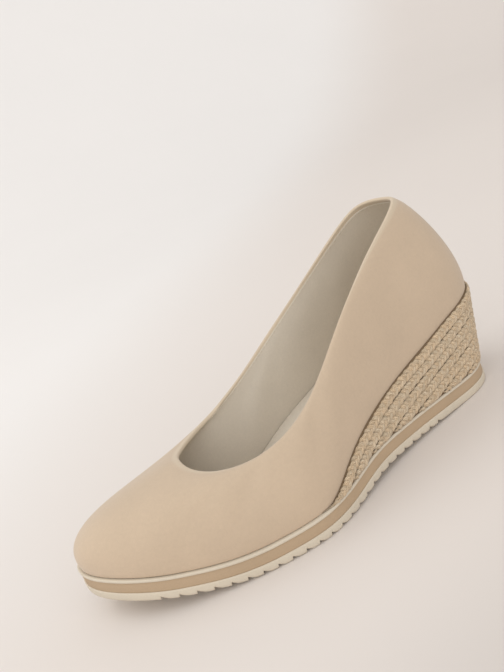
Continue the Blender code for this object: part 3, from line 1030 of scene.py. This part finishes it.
def nap_group(name):
    """Brushed leather: slow cloudy patches, a short nap that lies in small strokes, and
    fine grain. Patch and Nap run from 0 to 1, and Height is their relief."""
    group, entry = new_group(name, Patches=24.0, Strokes=700.0, Grain=2600.0)
    place = object_place(group)
    patch = add_noise(group, place, entry["Patches"], Detail=5.0, Roughness=0.6)
    nap = add_noise(group, place, entry["Strokes"], Detail=4.0, Roughness=0.6, Distortion=0.8)
    grain = add_noise(group, place, entry["Grain"], Detail=2.0, Roughness=0.6)
    height = add_math(group, "ADD", add_math(group, "MULTIPLY", nap, 0.6),
                      add_math(group, "MULTIPLY", grain, 0.4))
    return close_group(group, Patch=patch, Nap=nap, Height=height)


def fibre_group(name):
    """Jute strand: streaks drawn out along the strand's own map, a few yarns side by side
    as a rounded wave round the strand, and a slow change of tone from place to place."""
    group, entry = new_group(name, Length=0.35, Count=13.0, Yarns=7.0)
    chart = add_node(group, "UVMap", uv_map="Strand").outputs[0]
    along, about = add_node(group, "SeparateXYZ", {0: chart}).outputs[:2]
    run = add_math(group, "MULTIPLY", along, entry["Length"])
    turn = add_math(group, "MULTIPLY", about, entry["Count"])
    drawn = add_node(group, "CombineXYZ", {0: run, 1: turn}).outputs[0]
    streak = add_noise(group, drawn, 1.0, Detail=5.0, Roughness=0.7)
    tone = add_noise(group, object_place(group), 380.0, Detail=3.0)
    wave = add_math(group, "ADD", add_math(group, "MULTIPLY", about, entry["Yarns"]),
                    add_math(group, "MULTIPLY", streak, 0.8))
    wave = add_math(group, "SINE", add_math(group, "MULTIPLY", wave, np.pi))
    yarn = add_math(group, "ABSOLUTE", wave)
    height = add_math(group, "ADD", add_math(group, "MULTIPLY", streak, 0.6),
                      add_math(group, "MULTIPLY", yarn, 0.7))
    return close_group(group, Streak=streak, Yarn=yarn, Tone=tone, Height=height)


def moulded_group(name):
    """Moulded foam and rubber: faint clouds, fine specks and a pebbled skin."""
    group, entry = new_group(name, Clouds=40.0, Pebbles=1500.0)
    place = object_place(group)
    cloud = add_noise(group, place, entry["Clouds"], Detail=4.0)
    speck = add_noise(group, place, entry["Pebbles"], Detail=3.0)
    pebble = add_node(group, "TexVoronoi", {"Vector": place, "Scale": entry["Pebbles"]})
    return close_group(group, Cloud=cloud, Speck=speck, Height=pebble.outputs["Distance"])


def new_look(name):
    """A material and its node tree."""
    look = bpy.data.materials.new(name)
    look.use_nodes = True
    return look, look.node_tree


def finish_look(tree, ground, inputs, bump=None):
    """Feeds the Principled shader its base colour, its other inputs and a bump, which is a
    height socket with its strength and its depth in metres."""
    shader = tree.nodes["Principled BSDF"]
    for name, value in {"Base Color": ground, **inputs}.items():
        feed(tree, value, shader.inputs[name])
    if bump:
        relief = add_node(tree, "Bump", dict(zip(("Height", "Strength", "Distance"), bump)))
        feed(tree, relief.outputs[0], shader.inputs["Normal"])
    shader.location.x = NODES_IN_ROW * NODE_SPACING
    tree.nodes["Material Output"].location.x = (NODES_IN_ROW + 2) * NODE_SPACING


def nubuck_look(colors):
    """The upper's brushed leather, with a painted highlight along its turned edge, and dark in its
    seam.
    """
    look, tree = new_look("nubuck")
    nap = place_group(tree, "Soft nap", nap_group, Patches=22.0, Strokes=620.0, Grain=2400.0)
    cloud = add_range(tree, nap["Patch"], 0.3, 0.7)
    ground = add_mix(tree, cloud, opaque(colors.nubuck, 0.955), opaque(colors.nubuck, 1.03))
    ground = add_tone(tree, ground, nap["Nap"], grey(0.93), grey(1.06))
    # Painted highlight: the turned edge takes the lighter edge colour.
    ground = add_mix(tree, attribute(tree, "rim"), ground, opaque(colors.edge))
    dark = add_math(tree, "MULTIPLY", attribute(tree, "seam"), 0.45)
    ground = add_mix(tree, dark, ground, opaque(colors.nubuck, 0.35))
    inputs = {"Roughness": 0.86, "Sheen Weight": 0.25, "Sheen Roughness": 0.5,
              "Specular IOR Level": 0.25}
    finish_look(tree, ground, inputs, (nap["Height"], 0.35, 0.00035))
    return look


def leather_look(name, color, rough):
    """Smooth lining leather with a fine grain."""
    look, tree = new_look(name)
    nap = place_group(tree, "Soft nap", nap_group, Patches=35.0, Strokes=900.0, Grain=3200.0)
    ground = add_mix(tree, nap["Patch"], opaque(color, 0.90), opaque(color, 1.06))
    ground = add_tone(tree, ground, nap["Nap"], grey(0.9), grey(1.06))
    inputs = {"Roughness": rough, "Specular IOR Level": 0.35}
    finish_look(tree, ground, inputs, (nap["Height"], 0.3, 0.0003))
    return look


def rubber_look(name, color, rough, deep):
    """Matt moulded rubber or foam with faint specks; deep darkens its clouds."""
    look, tree = new_look(name)
    skin = place_group(tree, "Moulded skin", moulded_group, Clouds=45.0, Pebbles=1600.0)
    ground = add_mix(tree, skin["Cloud"], opaque(color, deep), opaque(color, 1.05))
    ground = add_tone(tree, ground, skin["Speck"], grey(0.93), grey(1.05))
    inputs = {"Roughness": rough, "Specular IOR Level": 0.4}
    finish_look(tree, ground, inputs, (skin["Height"], 0.15, 0.0002))
    return look


def jute_look(colors):
    """Plaited jute: streaky yarns, each strand its own tone, darker as a painted shade where it
    dips under the others and in the grooves between its yarns.
    """
    look, tree = new_look("jute")
    fibre = place_group(tree, "Jute fibres", fibre_group, Length=0.45, Count=16.0, Yarns=7.0)
    ramp = add_node(tree, "ValToRGB", {"Fac": fibre["Streak"]})
    stops = ramp.color_ramp.elements
    stops[0].position, stops[0].color = 0.28, opaque(colors.rope_dark_and_shade)
    stops[1].position, stops[1].color = 0.70, opaque(colors.rope_light)
    stops.new(0.45).color = opaque(colors.rope)
    ground = ramp.outputs["Color"]
    # Each strand's own tone and a random tone; the yarns' tone darkens the grooves between the
    # yarns, a painted shade.
    for share, low, high in ((attribute(tree, "tint"), (1.04, 1.0, 0.95), (0.95, 0.97, 0.99)),
                             (fibre["Tone"], (0.74, 0.72, 0.68), (1.22, 1.24, 1.28)),
                             (fibre["Yarn"], (0.84, 0.80, 0.75), (1.04, 1.04, 1.05))):
        ground = add_tone(tree, ground, share, low, high)
    # Painted shade: strands turn towards the dark rope colour where they sink in under the others.
    painted_dip_shade = add_range(tree, attribute(tree, "lift"), PLAIT_BASE - 1.0, PLAIT_BASE, 0.3, 0.0)
    ground = add_mix(tree, painted_dip_shade, ground, opaque(colors.rope_dark_and_shade))
    inputs = {"Roughness": 0.85, "Specular IOR Level": 0.25, "Sheen Weight": 0.15}
    finish_look(tree, ground, inputs, (fibre["Height"], 0.9, 0.00035))
    return look


def floor_look(colors):
    """The light-coloured floor, with painted light and shade: it turns lighter towards the far end
    of the toe's side, by the distance y - 0.9 x, a painted pool of light, and dims in the
    foreground, by y alone, a painted shade. Its clouds are faint."""
    look, tree = new_look("floor")
    skin = place_group(tree, "Moulded skin", moulded_group, Clouds=3.0, Pebbles=300.0)
    x, y = add_node(tree, "SeparateXYZ", {0: object_place(tree)}).outputs[:2]
    run = add_math(tree, "ADD", add_math(tree, "MULTIPLY", x, -0.9), y)
    # Painted pool of light: the floor turns to the lighter colour towards the far end of the toe's
    # side.
    painted_light_share = add_range(tree, run, 0.09, 0.60, kind="SMOOTHSTEP")
    # Painted shade: the floor dims in the foreground.
    near = add_range(tree, y, -0.09, -0.20, kind="SMOOTHSTEP")
    ground = add_mix(tree, painted_light_share, opaque(colors.floor), opaque(colors.backdrop))
    ground = add_mix(tree, near, ground, opaque(colors.floor, 0.84))
    ground = add_tone(tree, ground, skin["Cloud"], grey(0.985), grey(1.01))
    finish_look(tree, ground, {"Roughness": 0.9, "Specular IOR Level": 0.1})
    return look


def colour(name, description, default):
    """A colour that a user may change."""
    return bpy.props.FloatVectorProperty(name=name, description=description, default=default,
                                         subtype="COLOR", min=0, max=1)


def size(name, description, default, least, most):
    """A length that a user may change, in metres."""
    return bpy.props.FloatProperty(name=name, description=description, default=default, min=least,
                                   max=most, precision=5, subtype="DISTANCE", unit="LENGTH")


class WedgePumpColours(bpy.types.PropertyGroup):
    """Colours of the shoe and its floor"""
    nubuck: colour("Upper", "Brushed leather of the upper", (0.60, 0.472, 0.345))
    # Colour of the painted highlight along the upper's turned edge.
    edge: colour("Turned edge", "Painted highlight along the collar", (0.635, 0.525, 0.395))
    lining: colour("Lining", "Lining and sock", (0.68, 0.61, 0.51))
    rope: colour("Rope", "Plaited jute of the wedge", (0.66, 0.52, 0.36))
    rope_light: colour("Rope, light fibres", "Palest fibres of the jute", (0.88, 0.76, 0.58))
    # Darkest jute fibres, and also the colour of the painted shade where strands sink in and on
    # the core between them.
    rope_dark_and_shade: colour("Rope, dark fibres", "Dark fibres, and the painted shade between the strands", (0.30, 0.205, 0.12))
    light: colour("Light rubber", "Rim and toothed outsole", (0.675, 0.60, 0.485))
    tan: colour("Tan stripe", "Stripe between the light layers", (0.50, 0.37, 0.245))
    thread: colour("Thread", "Stitches inside the collar", (0.62, 0.54, 0.42))
    floor: colour("Floor", "Floor under the shoe", (0.785, 0.73, 0.69))
    # The floor far beyond the toe and the backdrop; on the floor it is the colour of the painted
    # pool of light.
    backdrop: colour("Backdrop", "Floor far beyond the toe", (0.86, 0.838, 0.822))


class WedgePumpSizes(bpy.types.PropertyGroup):
    """Sizes of the shoe's finish"""
    strand_width: size("Strand width", "Width of one strand of the plaited rope",
                       0.00245, 0.001, 0.004)
    strand_thickness: size("Strand thickness", "Thickness of one strand of the plaited rope",
                           0.0013, 0.0005, 0.002)
    curl: size("Collar curl", "How far the collar draws in at its turned edge", 0.0007, 0, 0.002)
    seam: size("Seam groove", "Depth of the seam on the medial side", 0.00042, 0, 0.001)
    swell: size("Leather swell", "Height of the slow waves in the upper's leather",
                0.00014, 0, 0.001)
    creases: bpy.props.FloatProperty(
        name="Crease depth", description="Depth of the upper's creases, 1 as photographed",
        default=1.0, min=0, max=3)
    stitch: size("Stitch length", "Length of one stitch inside the collar", 0.002, 0.001, 0.006)
    thread: size("Thread thickness", "Thickness of the thread inside the collar",
                 0.0004, 0.0002, 0.001)


class WedgePumpStage(bpy.types.PropertyGroup):
    """Light round the shoe"""
    key_power: bpy.props.FloatProperty(
        name="Key light", description="Power of the large soft light", subtype="POWER",
        default=8.0, min=0)
    front: bpy.props.FloatProperty(
        name="Front light", description="Strength of the broad light from the front",
        default=1.2, min=0)
    sky: bpy.props.FloatProperty(
        name="Ambient light", description="Strength of the light from all sides",
        default=0.62, min=0)


class WEDGEPUMP_OT_sole(bpy.types.Operator):
    """Build the toothed outsole, the tan stripe and the rim"""
    bl_idname = "wedgepump.sole"
    bl_label = "Build Sole"

    def execute(self, context):
        colors = context.scene.wedge_pump_colours
        make_outsole(rubber_look("outsole rubber", colors.light, 0.72, 0.93))
        make_stripe(rubber_look("tan foam", colors.tan, 0.78, 0.93))
        make_rim(rubber_look("rim rubber", colors.light, 0.6, 0.96))
        return {"FINISHED"}


class WEDGEPUMP_OT_wedge(bpy.types.Operator):
    """Build the wedge's core and its rows of plaited rope"""
    bl_idname = "wedgepump.wedge"
    bl_label = "Build Rope Wedge"

    def execute(self, context):
        colors = context.scene.wedge_pump_colours
        # The core's colour is a painted shade: far darker than the jute, for the shade between the
        # strands.
        make_core(rubber_look("jute ground", [0.85 * c for c in colors.rope_dark_and_shade], 0.95, 0.8))
        make_plaits(jute_look(colors), context.scene.wedge_pump_sizes)
        return {"FINISHED"}


class WEDGEPUMP_OT_upper(bpy.types.Operator):
    """Build the upper, its lining and the stitches inside its collar"""
    bl_idname = "wedgepump.upper"
    bl_label = "Build Upper"

    def execute(self, context):
        colors = context.scene.wedge_pump_colours
        sizes = context.scene.wedge_pump_sizes
        make_upper(nubuck_look(colors), sizes)
        make_lining(leather_look("lining leather", colors.lining, 0.6), sizes)
        make_edge_stitches(leather_look("thread", colors.thread, 0.7), sizes)
        return {"FINISHED"}


class WEDGEPUMP_OT_sock(bpy.types.Operator):
    """Build the sock on the shoe's floor"""
    bl_idname = "wedgepump.sock"
    bl_label = "Build Sock"

    def execute(self, context):
        colors = context.scene.wedge_pump_colours
        make_sock(leather_look("sock leather", colors.lining, 0.62))
        return {"FINISHED"}


def floor_points():
    """The floor and its backdrop, row by row from the front: flat, then a quarter circle
    up, then upright, as even steps of a share of the whole run."""
    run = np.linspace(0, 1, FLOOR_ROWS)
    bend = np.clip((run - FLOOR_FLAT) / (FLOOR_UPRIGHT - FLOOR_FLAT), 0, 1) * np.pi / 2
    depth = np.interp(run, (0, FLOOR_FLAT), FLOOR_DEPTH) + FLOOR_BEND * np.sin(bend)
    rise = FLOOR_BEND * (1 - np.cos(bend)) + np.clip(run - FLOOR_UPRIGHT, 0, 1) * FLOOR_RISE
    width = np.linspace(-FLOOR_SIDE, FLOOR_SIDE, FLOOR_COLUMNS)
    return points_of(width, depth[:, None], rise[:, None]).reshape(-1, 3)


def camera_place():
    """The camera's matrix: it looks along its azimuth and elevation, is rolled about that
    line, and is moved square to it so that the target falls on its pixel."""
    azimuth, elevation, roll = np.radians((CAMERA_AZIMUTH, CAMERA_ELEVATION, CAMERA_ROLL))
    back = np.array((np.sin(azimuth) * np.cos(elevation), -np.cos(azimuth) * np.cos(elevation),
                     np.sin(elevation)))
    side = np.cross(-back, (0, 0, 1))
    side /= np.linalg.norm(side)
    rise = np.cross(side, -back)
    right = np.cos(roll) * side + np.sin(roll) * rise
    above = np.cos(roll) * rise - np.sin(roll) * side
    scale = CAMERA_DISTANCE / FOCAL_PIXELS * MM
    shift = scale * (np.array(TARGET_PIXEL) - np.array(PHOTO_SIZE) / 2)
    place = to_frame(CAMERA_TARGET) + back * CAMERA_DISTANCE * MM
    place = place - right * shift[0] + above * shift[1]
    matrix = np.eye(4)
    matrix[:3] = np.transpose((right, above, back, place))
    return Matrix(matrix.tolist())


def add_item(name, data):
    """An object of the stage, at the origin and linked to the scene."""
    item = bpy.data.objects.new(name, data)
    bpy.context.scene.collection.objects.link(item)
    return item


def add_light(name, kind, power, color, place, aim, **settings):
    """A light that looks from its place to its aim."""
    light = bpy.data.lights.new(name, kind)
    light.energy = power
    light.color = color
    for setting, value in settings.items():
        setattr(light, setting, value)
    item = add_item(name, light)
    item.location = place
    item.rotation_euler = (Vector(aim) - Vector(place)).to_track_quat("-Z", "Y").to_euler()


class WEDGEPUMP_OT_stage(bpy.types.Operator):
    """Build the floor, the soft light and the photograph's camera"""
    bl_idname = "wedgepump.stage"
    bl_label = "Build Stage"

    def execute(self, context):
        scene = context.scene
        stage = scene.wedge_pump_stage
        mesh = bpy.data.meshes.new("floor")
        faces = grid_faces(FLOOR_ROWS, FLOOR_COLUMNS, False)
        mesh.from_pydata(floor_points().tolist(), [], faces.tolist())
        mesh.shade_smooth()
        mesh.materials.append(floor_look(scene.wedge_pump_colours))
        add_item("floor", mesh)
        add_light("key", "AREA", stage.key_power, KEY_COLOUR, KEY_PLACE, KEY_AIM,
                  shape="SQUARE", size=KEY_SIZE)
        add_light("front", "SUN", stage.front, FRONT_COLOUR, (0, 0, 0), FRONT_AIM,
                  angle=FRONT_ANGLE)
        scene.world = bpy.data.worlds.new("sky")
        scene.world.use_nodes = True
        sky = scene.world.node_tree.nodes["Background"].inputs
        sky["Color"].default_value = SKY_COLOUR
        sky["Strength"].default_value = stage.sky
        lens = bpy.data.cameras.new("camera")
        lens.sensor_width = SENSOR
        lens.lens = FOCAL_PIXELS * SENSOR / PHOTO_SIZE[1]
        lens.clip_start = 0.01
        scene.camera = add_item("camera", lens)
        scene.camera.matrix_world = camera_place()
        scene.view_settings.view_transform = "Standard"
        return {"FINISHED"}


class WEDGEPUMP_PT_panel(bpy.types.Panel):
    """Wedge pump"""
    bl_label = "Wedge Pump"
    bl_idname = "WEDGEPUMP_PT_panel"
    bl_space_type = "VIEW_3D"
    bl_region_type = "UI"
    bl_category = "Wedge Pump"

    def draw(self, context):
        layout = self.layout
        scene = context.scene
        for group in (scene.wedge_pump_sizes, scene.wedge_pump_colours, scene.wedge_pump_stage):
            box = layout.box()
            for name in group.bl_rna.properties.keys():
                if name not in ("rna_type", "name"):
                    box.prop(group, name)
        for step in STEPS:
            layout.operator(step.bl_idname)


STEPS = (WEDGEPUMP_OT_stage, WEDGEPUMP_OT_sole, WEDGEPUMP_OT_wedge, WEDGEPUMP_OT_upper,
         WEDGEPUMP_OT_sock)
GROUPS = (WedgePumpSizes, WedgePumpColours, WedgePumpStage)


def register():
    for kind in (*GROUPS, *STEPS, WEDGEPUMP_PT_panel):
        bpy.utils.register_class(kind)
    bpy.types.Scene.wedge_pump_sizes = bpy.props.PointerProperty(type=WedgePumpSizes)
    bpy.types.Scene.wedge_pump_colours = bpy.props.PointerProperty(type=WedgePumpColours)
    bpy.types.Scene.wedge_pump_stage = bpy.props.PointerProperty(type=WedgePumpStage)


def unregister():
    del bpy.types.Scene.wedge_pump_stage
    del bpy.types.Scene.wedge_pump_colours
    del bpy.types.Scene.wedge_pump_sizes
    for kind in reversed((*GROUPS, *STEPS, WEDGEPUMP_PT_panel)):
        bpy.utils.unregister_class(kind)


def main():
    register()
    bpy.ops.wedgepump.stage()
    bpy.ops.wedgepump.sole()
    bpy.ops.wedgepump.wedge()
    bpy.ops.wedgepump.upper()
    bpy.ops.wedgepump.sock()


if __name__ == "__main__":
    main()
